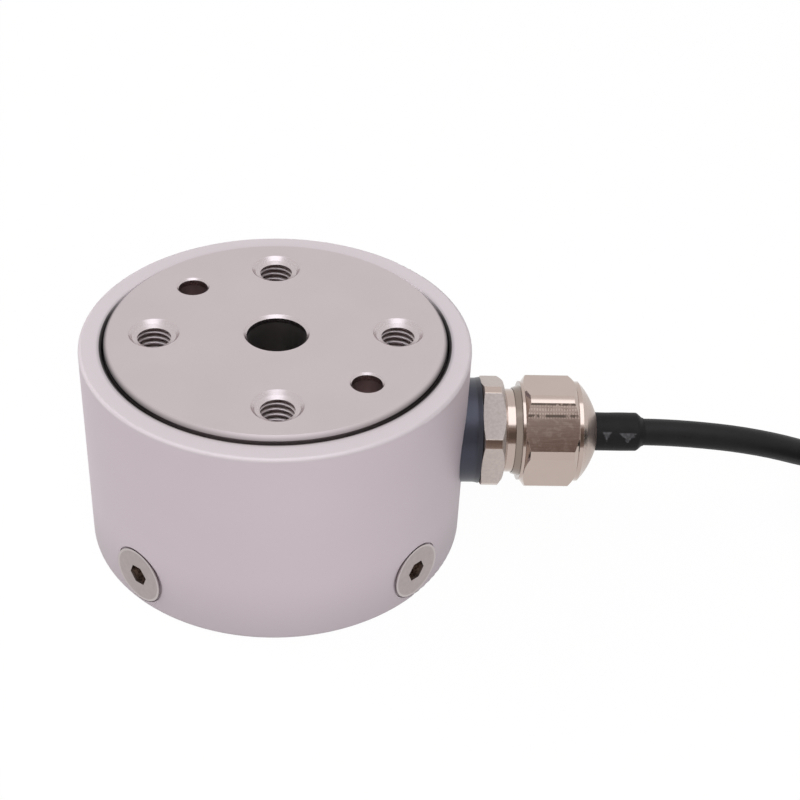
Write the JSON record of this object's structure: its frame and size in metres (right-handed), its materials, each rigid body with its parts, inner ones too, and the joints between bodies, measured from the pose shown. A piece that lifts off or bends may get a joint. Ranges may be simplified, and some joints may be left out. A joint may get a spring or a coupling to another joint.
{
  "type": "flange torque sensor",
  "caption": "Reaction torque sensor: a flanged steel torsion element in a round aluminium sleeve, with tapped and dowel holes in both faces, a metal cable gland and a coiled black cable.",
  "frame": {"origin": "centre of the base mounting face, on the torque axis", "axes": "+Z along the torque axis to the top flange, +X through the bolt hole beside the cable gland, which stands 2 degrees off it"},
  "size_m": [0.2418, 0.1118, 0.0465],
  "materials": {
    "machined_steel": "fine turned and ground face, satin",
    "anodised_aluminium": "bead blasted, clear anodised, satin",
    "screw_steel": "stainless, satin",
    "seal_rubber": "soft black",
    "washer_rubber": "matte, dark blue-grey",
    "gauge_foil": "polyimide film with foil grids",
    "terminal_resin": "glass epoxy with tinned pads",
    "gauge_wire": "enamelled",
    "board_resin": "solder mask",
    "spacer_brass": "turned",
    "board_screw_steel": "zinc plated",
    "resistor_ceramic": "glazed",
    "plated_brass": "nickel plated, bright, lightly worn",
    "gland_rubber": "soft black",
    "gland_nylon": "natural nylon",
    "shrink_tube": "heat shrunk, slightly wrinkled",
    "cable_jacket": "satin black jacket",
    "tie_fabric": "black hook and loop strap",
    "wire_red": "insulated wire",
    "wire_black": "insulated wire",
    "wire_green": "insulated wire",
    "wire_white": "insulated wire"
  },
  "bodies": {
    "root": {"sensing_element": "machined_steel", "housing_sleeve": "anodised_aluminium", "housing_screws": "screw_steel", "flange_seal_ring": "seal_rubber", "base_seal_ring": "seal_rubber", "strain_gauges": "gauge_foil", "gauge_terminals": "terminal_resin", "gauge_leads": "gauge_wire", "bridge_board": "board_resin", "board_spacers": "spacer_brass", "board_screws": "board_screw_steel", "balance_resistors": "resistor_ceramic", "core_red": "wire_red", "core_black": "wire_black", "core_green": "wire_green", "core_white": "wire_white", "gland_washer": "washer_rubber", "gland_body": "plated_brass", "gland_seal": "gland_rubber", "gland_claw": "gland_nylon", "gland_cap_nut": "plated_brass", "cable_sleeve": "shrink_tube", "cable_entry": "cable_jacket", "cable_run": "cable_jacket", "cable_coil": "cable_jacket", "coil_tie": "tie_fabric", "cable_tail": "cable_jacket", "cable_end_sleeve": "shrink_tube", "lead_red": "wire_red", "lead_black": "wire_black", "lead_green": "wire_green", "lead_white": "wire_white"}
  },
  "joints": []
}
